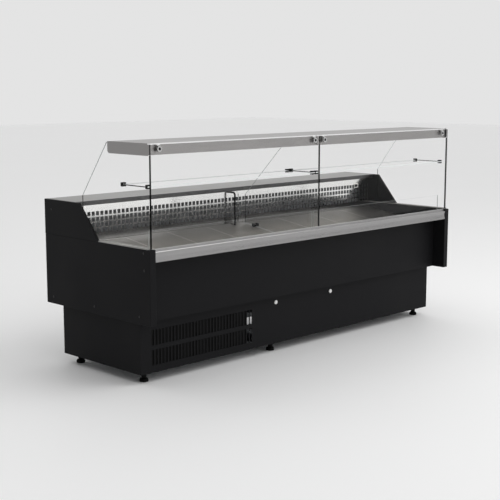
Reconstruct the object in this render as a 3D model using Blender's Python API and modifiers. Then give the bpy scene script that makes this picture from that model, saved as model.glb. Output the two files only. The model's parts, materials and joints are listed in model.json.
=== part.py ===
"""Refrigerated deli case with straight glass, in metres, +Z up.

The origin is the middle of the footprint on the floor. +X runs along the counter,
-Y faces the customer and +Y faces the person who serves.
"""

import math

import bmesh
import bpy
from mathutils import Matrix, Vector

# Overall size and the faces that the rest hangs on
length = 2.560
depth = 0.900
height = 1.255
front = -depth / 2
rear = depth / 2
gap = 0.0003  # between pieces that touch
sheet = 0.0015  # folded steel

# Outer side panels, a lower slab and an upper piece with a sloping front edge
side_thickness = 0.040
inner_x = length / 2 - side_thickness
side_bottom = 0.338
side_top = 0.727
slope_foot = front + 0.4217
slope_top = front + 0.5855
upper_inner_x = length / 2 - 0.0145
worktop_front = front + 0.632
worktop_top = 0.919
worktop_bottom = worktop_top - 0.0245
worktop_end = 1.265

# Base: a frame on six levelling feet, closed by folded covers
base_end = 1.238
base_front = front + 0.132
base_rear = front + 0.808
base_bottom = 0.054
cover_depth = 0.012
foot_columns = (-1.172, -0.218, 1.172)
foot_front = front + 0.192
foot_rear = front + 0.747
rail = 0.030
post = 0.026
post_offset = 0.050
frame_bottom = base_bottom + 0.0023
tray_left = -1.195
tray_right = -0.260
tray_top = frame_bottom + rail - 0.0015
machine_floor = tray_top + gap

# Locks and supply inlet of the base covers
lock_left_x = -0.235
lock_right_x = 0.244
lock_z = 0.297
inlet_x = -1.00
inlet_z = 0.300

# Rear panel and its controls
rear_face = front + 0.892
control_left = 0.800
control_width = 0.220
control_bottom = 0.775
control_tall = 0.070
switch_x = 0.985
switch_tilt = 8  # degrees, at rest

# Front cladding and the bumper that carries the glass
cladding_front = front + 0.090
cladding_thickness = 0.015
bumper_bottom = 0.661
bumper_top = 0.716

# Insulated tub and the display deck above it
tub_front = front + 0.107
tub_rear = front + 0.780
tub_wall = 0.043
tub_bottom = side_bottom + 0.0103
tub_floor = 0.392
tub_lip = 0.605
tub_end = 1.2385
deck_front = front + 0.110
deck_rear = front + 0.645
deck_rear_height = 0.6967
deck_slope = 0.150
plate_count = 8
plate_pitch = 0.310
plate_flange = 0.008
wall_front = front + 0.650
wall_thickness = 0.003

# Lamp in a groove under the worktop's front fold
lamp_end = 1.200
lamp_front = front + 0.6350
lamp_depth = 0.0130
lamp_top = worktop_bottom + 0.0065
ledge = 0.0070  # room for the ledge that holds the end glass

# Probe tube in front of the air wall
tube_x = -0.100
tube_y = front + 0.608

# Glass and canopy
glass = 0.006
pane_front = front + 0.0095
pane_bottom = 0.7285
pane_top = 1.250
pane_end = 1.2569
glass_front = front + 0.0185
end_glass_x = 1.254
end_glass_rear = front + 0.580
end_glass_corner = 0.9593
end_glass_top = front + 0.3635
canopy_front = front + 0.025
canopy_rear = front + 0.351
canopy_bottom = 1.197
canopy_end = 1.2507
shelf_height = 1.038
shelf_front = front + 0.0435
shelf_rear = front + 0.248

# Hinge line of the front panes, and the clamps that hang them
hinge_y = front + 0.0205
hinge_z = 1.2465
clamp_z = 1.227
clamp_columns = (0.041, 1.200)
clamp_radius = 0.015
knuckle_half = 0.010

# Machinery
condenser_fan_centre = Vector((-0.94, -0.150, 0.200))
evaporator_fan_x = 0.50
evaporator_fan_z = 0.535
fan_plate_y = front + 0.500


def deck_height(y):
    """Top of the sloping deck at a distance along Y."""
    return deck_rear_height + deck_slope * (y - deck_rear)


# Scene, collections and materials

for leftover in list(bpy.data.objects):
    bpy.data.objects.remove(leftover)


def new_collection(name):
    collection = bpy.data.collections.new(name)
    bpy.context.scene.collection.children.link(collection)
    return collection


parts = new_collection("deli_case")
cutters = new_collection("cutters")
cutters.hide_render = True


def new_material(name, colour, roughness, metallic=0.0, alpha=1.0):
    material = bpy.data.materials.new(name)
    material.use_nodes = True
    shader = material.node_tree.nodes["Principled BSDF"]
    shader.inputs["Base Color"].default_value = (*colour, 1.0)
    shader.inputs["Roughness"].default_value = roughness
    shader.inputs["Metallic"].default_value = metallic
    shader.inputs["Alpha"].default_value = alpha
    material.diffuse_color = (*colour, alpha)
    return material


black_steel = new_material("black powder-coated steel", (0.012, 0.012, 0.014), 0.45)
stainless = new_material("brushed stainless steel", (0.42, 0.41, 0.40), 0.35, 1.0)
bumper_steel = new_material("satin aluminium profile", (0.45, 0.45, 0.45), 0.30, 1.0)
clear_glass = new_material("clear tempered glass", (0.80, 0.86, 0.85), 0.02, 0.0, 0.25)
chrome = new_material("chromed brass", (0.60, 0.60, 0.60), 0.10, 1.0)
foam_skin = new_material("insulated tub skin", (0.30, 0.30, 0.31), 0.50, 0.3)
galvanised = new_material("galvanised steel", (0.38, 0.39, 0.40), 0.45, 0.9)
black_rubber = new_material("black rubber", (0.010, 0.010, 0.010), 0.70)
black_plastic = new_material("black plastic", (0.015, 0.015, 0.016), 0.45)
white_plastic = new_material("white plastic", (0.80, 0.80, 0.79), 0.40)
fin_aluminium = new_material("aluminium fins", (0.55, 0.56, 0.57), 0.35, 1.0)
lamp_diffuser = new_material("opal lamp cover", (0.90, 0.90, 0.88), 0.30)
compressor_paint = new_material("black compressor paint", (0.010, 0.010, 0.012), 0.30)


# Building blocks


def add_object(name, mesh, material, location=(0, 0, 0)):
    obj = bpy.data.objects.new(name, mesh)
    obj.location = location
    mesh.materials.append(material)
    parts.objects.link(obj)
    return obj


def mesh_from(bm, name):
    mesh = bpy.data.meshes.new(name)
    bm.to_mesh(mesh)
    bm.free()
    return mesh


def bevelled(obj, width, segments=2):
    bevel = obj.modifiers.new("rounded edges", "BEVEL")
    bevel.width = width
    bevel.segments = segments
    bevel.limit_method = "ANGLE"
    return obj


def box(name, low, high, material):
    """A box between two corners, with its origin in its middle."""
    low = Vector(low)
    high = Vector(high)
    bm = bmesh.new()
    bmesh.ops.create_cube(bm, size=1, matrix=Matrix.Diagonal((*(high - low), 1)))
    return add_object(name, mesh_from(bm, name), material, (low + high) / 2)


def cylinder(name, radius, span, centre, axis, material, segments=24):
    """A rod through centre along X, Y or Z."""
    turn = {
        "X": Matrix.Rotation(math.pi / 2, 4, "Y"),
        "Y": Matrix.Rotation(math.pi / 2, 4, "X"),
        "Z": Matrix.Identity(4),
    }[axis]
    bm = bmesh.new()
    bmesh.ops.create_cone(
        bm, cap_ends=True, segments=segments, radius1=radius, radius2=radius, depth=span, matrix=turn
    )
    mesh = mesh_from(bm, name)
    mesh.shade_smooth()
    mesh.set_sharp_from_angle(angle=math.radians(35))
    return add_object(name, mesh, material, centre)


def outline_along_x(name, outline, x_low, x_high, material):
    """A flat (y, z) outline extruded between two x positions."""
    curve = bpy.data.curves.new(name, "CURVE")
    curve.dimensions = "2D"
    curve.fill_mode = "BOTH"
    curve.extrude = (x_high - x_low) / 2
    spline = curve.splines.new("POLY")
    spline.points.add(len(outline) - 1)
    for point, (y, z) in zip(spline.points, outline):
        point.co = (y, z, 0, 1)
    spline.use_cyclic_u = True
    obj = add_object(name, curve, material, ((x_low + x_high) / 2, 0, 0))
    obj.rotation_euler = (math.pi / 2, 0, math.pi / 2)
    return as_mesh(obj)


def as_mesh(obj):
    """A curve object made a welded mesh, so that it can be cut and joined."""
    bpy.context.view_layer.update()
    graph = bpy.context.evaluated_depsgraph_get()
    mesh = bpy.data.meshes.new_from_object(obj.evaluated_get(graph))
    bm = bmesh.new()
    bm.from_mesh(mesh)
    bmesh.ops.remove_doubles(bm, verts=bm.verts, dist=1e-6)
    bmesh.ops.recalc_face_normals(bm, faces=bm.faces)
    bm.to_mesh(mesh)
    bm.free()
    name = obj.name
    matrix = obj.matrix_world.copy()
    bpy.data.objects.remove(obj)
    solid = bpy.data.objects.new(name, mesh)
    solid.matrix_world = matrix
    parts.objects.link(solid)
    return solid


def turned(name, profile, location, material, segments=32):
    """A profile of (radius, z) from top to bottom, turned about the vertical axis."""
    mesh = bpy.data.meshes.new(name)
    points = [(radius, 0, z) for radius, z in profile]
    mesh.from_pydata(points, [(i, i + 1) for i in range(len(points) - 1)], [])
    obj = add_object(name, mesh, material, location)
    screw = obj.modifiers.new("turned", "SCREW")
    screw.steps = segments
    screw.render_steps = segments
    screw.use_merge_vertices = True
    screw.merge_threshold = 0.00001
    screw.use_smooth_shade = True
    return obj


def helper(obj):
    """Moves a shape out of the parts, to be cut away or joined on."""
    parts.objects.unlink(obj)
    cutters.objects.link(obj)
    obj.hide_render = True
    obj.display_type = "WIRE"
    return obj


def combine(target, other, operation):
    boolean = target.modifiers.new(other.name, "BOOLEAN")
    boolean.operation = operation
    boolean.object = helper(other)
    return target


def cut(target, other):
    return combine(target, other, "DIFFERENCE")


def join(target, other):
    return combine(target, other, "UNION")


def cut_box(target, low, high):
    return cut(target, box(target.name + "_opening", low, high, galvanised))


def join_box(target, low, high):
    return join(target, box(target.name + "_member", low, high, galvanised))


def pivot(name, location, *pieces):
    """An empty on a joint's axis, with the pieces that turn about it."""
    empty = bpy.data.objects.new(name, None)
    empty.location = location
    parts.objects.link(empty)
    for piece in pieces:
        piece.parent = empty
        piece.matrix_parent_inverse = Matrix.Translation(location).inverted()


def slot_cutter(name, columns, rows, slot, y_low, y_high):
    """One cutter of upright slots: columns are x centres, rows are z centres."""
    width, tall = slot
    bm = bmesh.new()
    for x in columns:
        for z in rows:
            place = Matrix.Translation((x, (y_low + y_high) / 2, z))
            size = Matrix.Diagonal((width, y_high - y_low, tall, 1))
            bmesh.ops.create_cube(bm, size=1, matrix=place @ size)
    return add_object(name, mesh_from(bm, name), galvanised)


# Base


def make_base_frame():
    """Welded frame: two pairs of long rails, posts, cross members and a floor tray."""
    frame_end = 1.205
    low_bottom = frame_bottom
    low_top = low_bottom + rail
    high_top = tub_bottom - gap
    high_bottom = high_top - rail
    lines = (foot_front, foot_rear)
    frame = box(
        "base_frame",
        (-frame_end, foot_front - rail / 2, low_bottom),
        (frame_end, foot_front + rail / 2, low_top),
        galvanised,
    )
    for y, bottom, top in (
        (foot_rear, low_bottom, low_top),
        (foot_front, high_bottom, high_top),
        (foot_rear, high_bottom, high_top),
    ):
        join_box(frame, (-frame_end, y - rail / 2, bottom), (frame_end, y + rail / 2, top))
    inset = (rail - post) / 2
    for column in foot_columns:
        side = -1 if column > 0 else 1
        x = column + side * post_offset
        for y in lines:
            join_box(
                frame,
                (x - post / 2, y - post / 2, low_top - 0.010),
                (x + post / 2, y + post / 2, high_bottom + 0.010),
            )
        for bottom in (low_bottom, high_bottom):
            join_box(
                frame,
                (x - post / 2, foot_front + 0.005, bottom + inset),
                (x + post / 2, foot_rear - 0.005, bottom + rail - inset),
            )
    join_box(
        frame,
        (tray_left, foot_front + 0.004, tray_top - 0.0035),
        (tray_right, foot_rear - 0.004, tray_top),
    )
    for column in foot_columns:
        for y in lines:
            cut(
                frame,
                cylinder("foot_hole", 0.0058, 0.060, (column, y, low_bottom + 0.015), "Z", galvanised, 16),
            )


def make_feet():
    """Levelling feet: a broad pad, a locking collar and a threaded stem in the rail."""
    profile = (
        (0.0, 0.092),
        (0.005, 0.092),
        (0.005, 0.0535),
        (0.019, 0.0535),
        (0.019, 0.042),
        (0.014, 0.040),
        (0.014, 0.022),
        (0.021, 0.017),
        (0.024, 0.012),
        (0.024, 0.0),
        (0.0, 0.0),
    )
    for row, y in (("front", foot_front), ("rear", foot_rear)):
        for column, x in zip(("left", "middle", "right"), foot_columns):
            turned(f"foot_{row}_{column}", profile, (x, y, 0), black_rubber, 20)


def folded_cover(name, low, high, opening_low, opening_high, material):
    """A cover folded from sheet: a box with its inner side milled away to leave the returns."""
    return cut_box(box(name, low, high, material), opening_low, opening_high)


def make_base_covers():
    top = side_bottom - gap
    reach = cover_depth + 0.010
    slots_left = -1.169
    slots_right = -0.426
    cover = folded_cover(
        "base_front_cover",
        (-base_end, base_front, base_bottom),
        (base_end, base_front + cover_depth, top),
        (-base_end + sheet, base_front + sheet, base_bottom + sheet),
        (base_end - sheet, base_front + reach, top - sheet),
        black_steel,
    )
    # Two rows of upright slots in front of the condenser
    slots = 32
    pitch = (slots_right - slots_left) / slots
    columns = [slots_left + pitch * (i + 0.5) for i in range(slots)]
    grille = slot_cutter(
        "front_slots", columns, (0.241, 0.1345), (pitch * 0.70, 0.082), base_front - 0.01, base_front + 0.01
    )
    cut(cover, grille)
    for x in (lock_left_x, lock_right_x):
        cut(cover, cylinder("lock_hole", 0.0085, 0.04, (x, base_front, lock_z), "Y", black_steel, 16))

    back = folded_cover(
        "base_rear_cover",
        (-base_end, base_rear - cover_depth, base_bottom),
        (base_end, base_rear, top),
        (-base_end + sheet, base_rear - reach, base_bottom + sheet),
        (base_end - sheet, base_rear - sheet, top - sheet),
        black_steel,
    )
    rear_pitch = 0.045
    columns = [slots_left + rear_pitch * (i + 0.5) for i in range(16)]
    cut(
        back,
        slot_cutter(
            "rear_slots",
            columns,
            (0.241, 0.1345),
            (0.025, 0.082),
            base_rear - 0.01,
            base_rear + 0.01,
        ),
    )
    cut(back, cylinder("inlet_hole", 0.011, 0.04, (inlet_x, base_rear, inlet_z), "Y", black_steel, 16))

    for side, sign in (("left", -1), ("right", 1)):
        outer = sign * base_end
        inner = sign * (base_end - cover_depth)
        folded_cover(
            f"base_end_cover_{side}",
            (min(outer, inner), base_front + cover_depth + gap, base_bottom),
            (max(outer, inner), base_rear - cover_depth - gap, top),
            (
                min(outer - sign * sheet, inner - sign * 0.01),
                base_front + cover_depth + gap + sheet,
                base_bottom + sheet,
            ),
            (
                max(outer - sign * sheet, inner - sign * 0.01),
                base_rear - cover_depth - gap - sheet,
                top - sheet,
            ),
            black_steel,
        )


def make_cover_locks():
    """Quarter-turn locks: a white head outside and a stem with a cross bar inside."""
    for side, x in (("left", lock_left_x), ("right", lock_right_x)):
        face = base_front - gap
        head = cylinder(
            f"cover_lock_{side}", 0.0115, 0.004, (x, face - 0.002, lock_z), "Y", white_plastic
        )
        stem = cylinder("lock_stem", 0.007, 0.012, (x, face + 0.005, lock_z), "Y", white_plastic, 16)
        join(head, stem)
        bar_y = base_front + sheet + 0.003
        bar = box(
            "lock_bar",
            (x - 0.0035, bar_y, lock_z - 0.016),
            (x + 0.0035, bar_y + 0.005, lock_z + 0.016),
            white_plastic,
        )
        join(head, bar)
        pivot(f"cover_lock_{side}_axis", (x, base_front, lock_z), head)


def make_mains_inlet():
    """Cable gland of the supply, in the rear cover."""
    outer = base_rear + gap
    gland = cylinder(
        "mains_inlet", 0.017, 0.008, (inlet_x, outer + 0.004, inlet_z), "Y", black_plastic, 6
    )
    join(gland, cylinder("gland_neck", 0.010, 0.034, (inlet_x, outer - 0.001, inlet_z), "Y", black_plastic))
    cut(gland, cylinder("gland_bore", 0.005, 0.080, (inlet_x, outer, inlet_z), "Y", black_plastic, 16))


# Refrigeration


def make_compressor():
    floor = machine_floor
    centre_x = -0.60
    centre_y = 0.080
    shell = turned(
        "compressor",
        (
            (0.0, 0.172),
            (0.040, 0.168),
            (0.066, 0.154),
            (0.078, 0.130),
            (0.080, 0.060),
            (0.076, 0.034),
            (0.062, 0.020),
            (0.0, 0.020),
        ),
        (centre_x, centre_y, floor),
        compressor_paint,
    )
    join_box(
        shell,
        (centre_x - 0.100, centre_y - 0.060, floor),
        (centre_x + 0.100, centre_y + 0.060, floor + 0.026),
    )
    join_box(
        shell,
        (centre_x - 0.030, centre_y - 0.105, floor + 0.070),
        (centre_x + 0.030, centre_y - 0.060, floor + 0.130),
    )


def make_condenser():
    """Finned block behind the front slots, with its end plates."""
    floor = machine_floor
    left = -1.13
    right = -0.75
    near = foot_front + 0.022
    block = box("condenser", (left, near, floor + 0.008), (right, near + 0.060, 0.305), fin_aluminium)
    for x in (left, right):
        join_box(block, (x - 0.004, near - 0.004, floor), (x + 0.004, near + 0.064, 0.312))


def fan_rotor(name, centre, radius, blades, material):
    """Hub with a bore for its shaft, and pitched blades; it turns about Y."""
    hub = cylinder(name, radius * 0.28, 0.020, centre, "Y", material, 16)
    for i in range(blades):
        bm = bmesh.new()
        bmesh.ops.create_cube(bm, size=1, matrix=Matrix.Diagonal((radius * 0.46, 0.003, radius * 0.80, 1)))
        pitch = Matrix.Rotation(math.radians(24), 4, "Z")
        reach = Matrix.Translation((0, 0, radius * 0.60))
        around = Matrix.Rotation(2 * math.pi * i / blades, 4, "Y")
        bmesh.ops.transform(bm, matrix=around @ reach @ pitch, verts=bm.verts)
        join(hub, add_object("blade", mesh_from(bm, "blade"), material, centre))
    cut(hub, cylinder("hub_bore", 0.00408, 0.060, centre, "Y", material, 16))
    return hub


def make_condenser_fan():
    centre = condenser_fan_centre
    fan_rotor("condenser_fan", centre, 0.090, 5, black_plastic)
    floor = machine_floor
    motor = cylinder(
        "condenser_fan_motor", 0.042, 0.060, centre + Vector((0, 0.046, 0)), "Y", black_plastic
    )
    join(motor, cylinder("shaft", 0.0040, 0.050, centre + Vector((0, 0.008, 0)), "Y", black_plastic, 16))
    join_box(
        motor,
        (centre.x - 0.015, centre.y + 0.030, floor),
        (centre.x + 0.015, centre.y + 0.062, centre.z - 0.020),
    )
    join_box(
        motor,
        (centre.x - 0.060, centre.y + 0.022, floor),
        (centre.x + 0.060, centre.y + 0.072, floor + 0.004),
    )


def make_evaporator():
    """Finned block on the tub's floor, with end plates that stand on it."""
    left = -0.95
    right = 0.95
    near = front + 0.200
    far = front + 0.420
    block = box("evaporator", (left, near, tub_floor + 0.015), (right, far, 0.530), fin_aluminium)
    for x in (left, right):
        join_box(block, (x - 0.003, near - 0.006, tub_floor + gap), (x + 0.003, far + 0.006, 0.545))


def make_fan_plate():
    """Sheet across the tub with a motor in each of two fan openings; it also bears the deck."""
    plate = box(
        "fan_plate",
        (-1.190, fan_plate_y, tub_floor + gap),
        (1.190, fan_plate_y + 0.003, 0.650),
        galvanised,
    )
    for x in (-evaporator_fan_x, evaporator_fan_x):
        cut(
            plate,
            cylinder("fan_opening", 0.085, 0.04, (x, fan_plate_y, evaporator_fan_z), "Y", galvanised, 24),
        )
        join_box(
            plate,
            (x - 0.012, fan_plate_y + 0.022, evaporator_fan_z - 0.100),
            (x + 0.012, fan_plate_y + 0.026, evaporator_fan_z + 0.100),
        )
        for end in (-0.100, 0.094):
            join_box(
                plate,
                (x - 0.012, fan_plate_y + 0.001, evaporator_fan_z + end),
                (x + 0.012, fan_plate_y + 0.024, evaporator_fan_z + end + 0.006),
            )
        motor_y = fan_plate_y + 0.042
        join(
            plate, cylinder("fan_motor", 0.026, 0.040, (x, motor_y, evaporator_fan_z), "Y", galvanised, 20)
        )
        join(
            plate,
            cylinder(
                "fan_shaft",
                0.0040,
                0.050,
                (x, fan_plate_y + 0.012, evaporator_fan_z),
                "Y",
                galvanised,
                16,
            ),
        )
    join_deck_bearers(plate)


def make_evaporator_fans():
    for side, sign in (("left", -1), ("right", 1)):
        centre = Vector((sign * evaporator_fan_x, fan_plate_y + 0.0015, evaporator_fan_z))
        fan_rotor(f"evaporator_fan_{side}", centre, 0.072, 5, black_plastic)


def make_tub():
    """Foam-filled tub: a trough with a tall rear wall that carries the worktop."""
    top = worktop_bottom - gap
    shoulder = tub_rear - tub_wall - 0.002
    tub = outline_along_x(
        "insulated_tub",
        (
            (tub_front, tub_bottom),
            (tub_rear, tub_bottom),
            (tub_rear, top),
            (shoulder, top),
            (shoulder, tub_lip),
            (tub_front, tub_lip),
        ),
        -tub_end,
        tub_end,
        foam_skin,
    )
    end = tub_end - 0.038
    cut_box(tub, (-end, tub_front + tub_wall, tub_floor), (end, tub_rear - tub_wall, height))


def join_deck_bearers(plate):
    """Rear rail and middle bearer under the deck, and the strip below the middle glass."""
    rail_front = deck_rear - 0.023
    rail_rear = deck_rear - 0.003
    join_box(plate, (-1.1905, rail_front, 0.655), (1.1905, rail_rear, 0.675))
    for sign in (-1, 1):
        edges = sorted((sign * 1.170, sign * 1.189))
        join_box(plate, (edges[0], fan_plate_y + 0.001, 0.630), (edges[1], rail_rear - 0.002, 0.659))
    inner = tub_front + tub_wall + gap
    for name, half, start, low, high in (
        ("middle_bearer", 0.012, inner, 0.030, 0.012),
        ("middle_strip", 0.0034, inner + 0.002, 0.020, 0.0005),
    ):
        end = rail_rear - 0.004
        outline = (
            (start, deck_height(start) - low),
            (end, deck_height(end) - low),
            (end, deck_height(end) - high),
            (start, deck_height(start) - high),
        )
        join(plate, outline_along_x(name, outline, -half, half, galvanised))


def make_deck_plates():
    """Loose plates of folded sheet, side by side; the probe tube passes a notch in one."""
    thick = sheet
    outline = (
        (deck_front, deck_height(deck_front)),
        (deck_front, deck_height(deck_front) - plate_flange),
        (deck_front + thick, deck_height(deck_front) - plate_flange),
        (deck_front + thick, deck_height(deck_front + thick) - thick),
        (deck_rear - thick, deck_height(deck_rear - thick) - thick),
        (deck_rear - thick, deck_height(deck_rear) - plate_flange),
        (deck_rear, deck_height(deck_rear) - plate_flange),
        (deck_rear, deck_height(deck_rear)),
    )
    for i in range(plate_count):
        left = (i - plate_count / 2) * plate_pitch
        right = left + plate_pitch
        low = left + (0.0040 if i == plate_count / 2 else gap)
        high = right - (0.0040 if i == plate_count / 2 - 1 else gap)
        plate = outline_along_x(f"deck_plate_{i + 1}", outline, low, high, stainless)
        if low < tube_x < high:
            cut_box(plate, (tube_x - 0.011, tube_y - 0.011, 0.6), (tube_x + 0.011, deck_rear + 0.02, 0.8))


# Body


def make_side_panels():
    for side, sign in (("left", -1), ("right", 1)):
        edges = sorted((sign * inner_x, sign * length / 2))
        bevelled(
            box(
                f"side_panel_{side}",
                (edges[0], front, side_bottom),
                (edges[1], rear, side_top),
                black_steel,
            ),
            0.002,
        )
        plate = sorted((sign * upper_inner_x, sign * length / 2))
        upper = outline_along_x(
            f"upper_side_panel_{side}",
            (
                (slope_foot, side_top + gap),
                (rear, side_top + gap),
                (rear, worktop_top),
                (slope_top, worktop_top),
            ),
            plate[0],
            plate[1],
            black_steel,
        )
        # Behind the air wall it is as thick as the lower slab, and carries the worktop's end
        block = sorted((sign * inner_x, sign * (upper_inner_x + 0.001)))
        join_box(
            upper,
            (block[0], wall_front + wall_thickness + gap, side_top + gap),
            (block[1], rear, worktop_bottom - gap),
        )


def make_cladding():
    end = inner_x - gap
    top = bumper_bottom - gap
    folded_cover(
        "front_panel",
        (-end, cladding_front, side_bottom + gap),
        (end, cladding_front + cladding_thickness, top),
        (-end + sheet, cladding_front + sheet, side_bottom + sheet),
        (end - sheet, cladding_front + 0.03, top - sheet),
        black_steel,
    )
    back = folded_cover(
        "rear_panel",
        (-end, rear_face - cladding_thickness, side_bottom + gap),
        (end, rear_face, worktop_bottom - gap),
        (-end + sheet, rear_face - 0.03, side_bottom + sheet),
        (end - sheet, rear_face - sheet, worktop_bottom - gap - sheet),
        black_steel,
    )
    cut_box(
        back,
        (control_left + 0.010, rear_face - 0.03, control_bottom + 0.010),
        (control_left + control_width - 0.010, rear_face + 0.01, control_bottom + control_tall - 0.010),
    )


def make_controls():
    """Controller plate with a display window, and a rocker switch for the lamp in it."""
    middle_z = control_bottom + control_tall / 2
    near = rear_face + gap
    far = near + 0.005
    panel = box(
        "control_panel",
        (control_left, near, control_bottom),
        (control_left + control_width, far, control_bottom + control_tall),
        black_plastic,
    )
    join_box(
        panel,
        (control_left + 0.020, near - 0.035, middle_z - 0.015),
        (control_left + 0.100, near + 0.001, middle_z + 0.015),
    )
    cut_box(
        panel,
        (control_left + 0.025, far - 0.0012, middle_z - 0.012),
        (control_left + 0.095, far + 0.01, middle_z + 0.012),
    )
    cut_box(
        panel,
        (switch_x - 0.0070, near - 0.01, middle_z - 0.0134),
        (switch_x + 0.0070, far + 0.01, middle_z + 0.0134),
    )
    axis = Vector((switch_x, rear_face - 0.0018, middle_z))
    rocker = bevelled(
        box(
            "lamp_switch",
            axis - Vector((0.0065, 0.0045, 0.0120)),
            axis + Vector((0.0065, 0.0045, 0.0120)),
            black_plastic,
        ),
        0.001,
    )
    # At rest the switch is off, tilted to one side
    rocker.rotation_euler = (math.radians(-switch_tilt), 0, 0)
    return rocker


def make_worktop():
    """Steel top with a groove for the lamp behind its front fold."""
    worktop = bevelled(
        box(
            "worktop",
            (-worktop_end, worktop_front, worktop_bottom),
            (worktop_end, rear, worktop_top),
            stainless,
        ),
        0.0015,
    )
    groove = 0.0005
    cut_box(
        worktop,
        (-lamp_end - groove, lamp_front - groove, worktop_bottom - 0.01),
        (lamp_end + groove, lamp_front + lamp_depth + groove, lamp_top + groove),
    )


def make_bumper():
    """Profile across the front: a slightly hollow face, a lip for the panes and a rear flange."""
    face = []
    steps = 8
    for i in range(steps + 1):
        share = i / steps
        z = bumper_bottom + 0.008 + (bumper_top - bumper_bottom - 0.012) * share
        face.append((front + 0.0025 * math.sin(math.pi * share) + 0.0008, z))
    lip = pane_bottom - 0.001
    outline = (
        [(front + 0.003, bumper_bottom), (front + 0.0008, bumper_bottom + 0.003)]
        + face
        + [
            (front + 0.004, bumper_top),
            (pane_front + 0.0005, bumper_top),
            (pane_front + 0.0005, lip),
            (pane_front + glass - 0.0005, lip),
            (pane_front + glass - 0.0005, bumper_top),
            (front + 0.022, bumper_top - 0.003),
            (front + 0.022, bumper_bottom + 0.015),
            (front + 0.104, bumper_bottom + 0.015),
            (front + 0.104, bumper_bottom),
        ]
    )
    outline_along_x("front_bumper", outline, -inner_x + gap, inner_x - gap, bumper_steel)


def make_rear_wall():
    """Air wall behind the deck, and the lamp under the worktop's front edge."""
    end = inner_x - gap
    wall = box(
        "air_wall",
        (-end, wall_front, deck_rear_height - 0.010),
        (end, wall_front + wall_thickness, worktop_bottom - gap),
        stainless,
    )
    for sign in (-1, 1):
        ear = sorted((sign * (end - 0.001), sign * (upper_inner_x - gap)))
        join_box(
            wall,
            (ear[0], wall_front, side_top + ledge),
            (ear[1], wall_front + wall_thickness, worktop_bottom - gap),
        )
    box(
        "lamp",
        (-lamp_end, lamp_front, lamp_top - 0.0055),
        (lamp_end, lamp_front + lamp_depth, lamp_top),
        lamp_diffuser,
    )


def make_probe_tube():
    """Rubber tube for the sensor lead, from under the worktop down past the deck."""
    curve = bpy.data.curves.new("probe_tube", "CURVE")
    curve.dimensions = "3D"
    curve.bevel_depth = 0.0055
    curve.bevel_resolution = 2
    curve.use_fill_caps = True
    bend = 0.014
    top = worktop_bottom - 0.0062
    route = [(tube_x, tube_y, 0.640), (tube_x, tube_y, 0.740)]
    steps = 6
    for i in range(steps + 1):
        angle = math.pi / 2 * i / steps
        along = tube_y + bend - bend * math.cos(angle)
        route.append((tube_x, along, top - bend + bend * math.sin(angle)))
    route.append((tube_x, wall_front - gap, top))
    spline = curve.splines.new("POLY")
    spline.points.add(len(route) - 1)
    for point, place in zip(spline.points, route):
        point.co = (*place, 1)
    add_object("probe_tube", curve, black_rubber)


# Glass and canopy


def make_canopy():
    """Hollow steel shelf over the glass, with a pair of lugs and a pin for each clamp."""
    top = height - 0.0003
    canopy = outline_along_x(
        "canopy",
        (
            (canopy_front, canopy_bottom),
            (canopy_rear - 0.021, canopy_bottom),
            (canopy_rear, top),
            (canopy_front, top),
        ),
        -canopy_end,
        canopy_end,
        stainless,
    )
    lug = 0.0033
    for x in clamp_positions():
        for sign in (-1, 1):
            near = x + sign * (knuckle_half + 0.0005)
            far = x + sign * (knuckle_half + 0.0065)
            join_box(
                canopy,
                (min(near, far), hinge_y - lug, hinge_z - lug),
                (max(near, far), canopy_front + 0.005, hinge_z + lug),
            )
        join(canopy, cylinder("hinge_pin", 0.0020, 0.026, (x, hinge_y, hinge_z), "X", chrome, 16))


def clamp_positions():
    return [sign * x for sign in (-1, 1) for x in clamp_columns]


def make_canopy_ends():
    """End plates of the canopy, outside the end glass, with round lower corners."""
    radius = 0.016
    bottom = canopy_bottom - 0.003
    top = height
    near = glass_front
    far = canopy_rear - 0.001
    outline = [(far, top), (near, top)]
    steps = 6
    for centre_y, start in ((near + radius, math.pi), (far - radius, 1.5 * math.pi)):
        for i in range(steps + 1):
            angle = start + math.pi / 2 * i / steps
            outline.append(
                (centre_y + radius * math.cos(angle), bottom + radius + radius * math.sin(angle))
            )
    for side, sign in (("left", -1), ("right", 1)):
        inner = sign * (end_glass_x + glass / 2 + gap)
        outer = inner + sign * 0.004
        outline_along_x(
            f"canopy_end_{side}", outline, min(inner, outer), max(inner, outer), stainless
        )


def make_front_panes():
    """Two panes that hang from the canopy on round clamps and swing up."""
    panes = {}
    for side, sign in (("left", -1), ("right", 1)):
        edges = sorted((sign * 0.001, sign * pane_end))
        pane = box(
            f"front_glass_{side}",
            (edges[0], pane_front, pane_bottom),
            (edges[1], pane_front + glass, pane_top),
            clear_glass,
        )
        for x in clamp_columns:
            cut(
                pane,
                cylinder("pane_hole", 0.0065, 0.05, (sign * x, pane_front, clamp_z), "Y", clear_glass, 20),
            )
        panes[side] = [pane]
    for side, sign in (("left", -1), ("right", 1)):
        for place, x in zip(("inner", "outer"), clamp_columns):
            panes[side].append(make_clamp(f"glass_clamp_{side}_{place}", sign * x))
        pivot(f"front_glass_{side}_hinge", (sign * pane_end / 2, hinge_y, hinge_z), *panes[side])


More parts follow.
